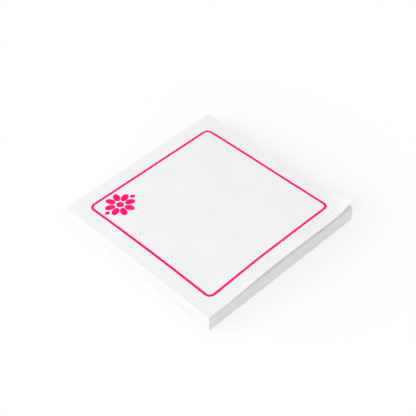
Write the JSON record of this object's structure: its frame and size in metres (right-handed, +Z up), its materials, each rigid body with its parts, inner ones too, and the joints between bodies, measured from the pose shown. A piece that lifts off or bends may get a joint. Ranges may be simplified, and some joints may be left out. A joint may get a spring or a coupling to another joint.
{
  "type": "sticky note pad",
  "caption": "Square pad of white sticky notes lying flat, with a printed border line and a small flower on the top note, whose free edge has lifted and one corner curls up.",
  "frame": {"origin": "middle of the pad's underside, on the surface that it rests on", "axes": "+X along the width of a note, +Y up the note to its gummed, bound edge, +Z up from the backing sheet to the top note"},
  "size_m": [0.076, 0.076, 0.0101],
  "materials": {
    "paper": "smooth uncoated white note paper",
    "backing": "slightly glossy off-white liner paper",
    "gum": "thin translucent repositionable adhesive, faintly glossy",
    "ink": "flat bright pink printing ink"
  },
  "bodies": {
    "root": {"backing_sheet": "backing", "sheet_block": "paper", "gum_strip": "gum", "top_note": "paper", "printed_border": "ink", "printed_flower": "ink"}
  },
  "joints": []
}
